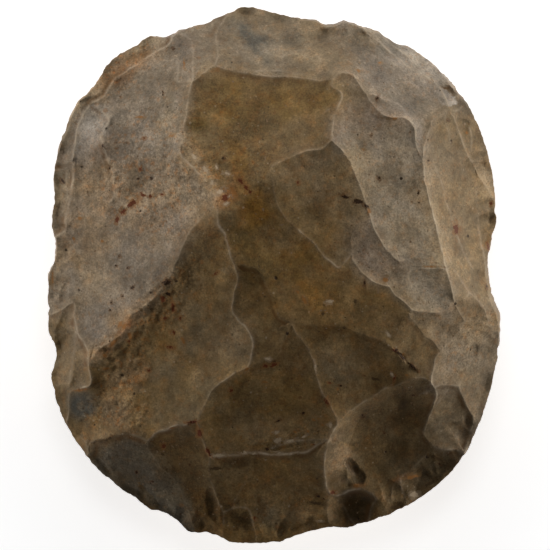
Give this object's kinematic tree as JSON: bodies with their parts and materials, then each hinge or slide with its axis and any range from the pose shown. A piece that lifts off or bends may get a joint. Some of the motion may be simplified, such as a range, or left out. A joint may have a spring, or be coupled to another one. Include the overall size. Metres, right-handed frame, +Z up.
{
  "type": "stone hand axe",
  "caption": "Thick, nearly round hand axe of knapped flint, worked on both faces, lying on its flatter face.",
  "frame": {"origin": "middle of the stone's length and width, on the surface that it lies on", "axes": "+Y along the length, towards the steeper end; +Z up through the thickness, towards the domed face"},
  "size_m": [0.1012, 0.12, 0.0437],
  "materials": {
    "flint": "brown-grey flint with a dull patina, olive and ochre stains"
  },
  "bodies": {
    "root": {"hand_axe": "flint"}
  },
  "joints": []
}
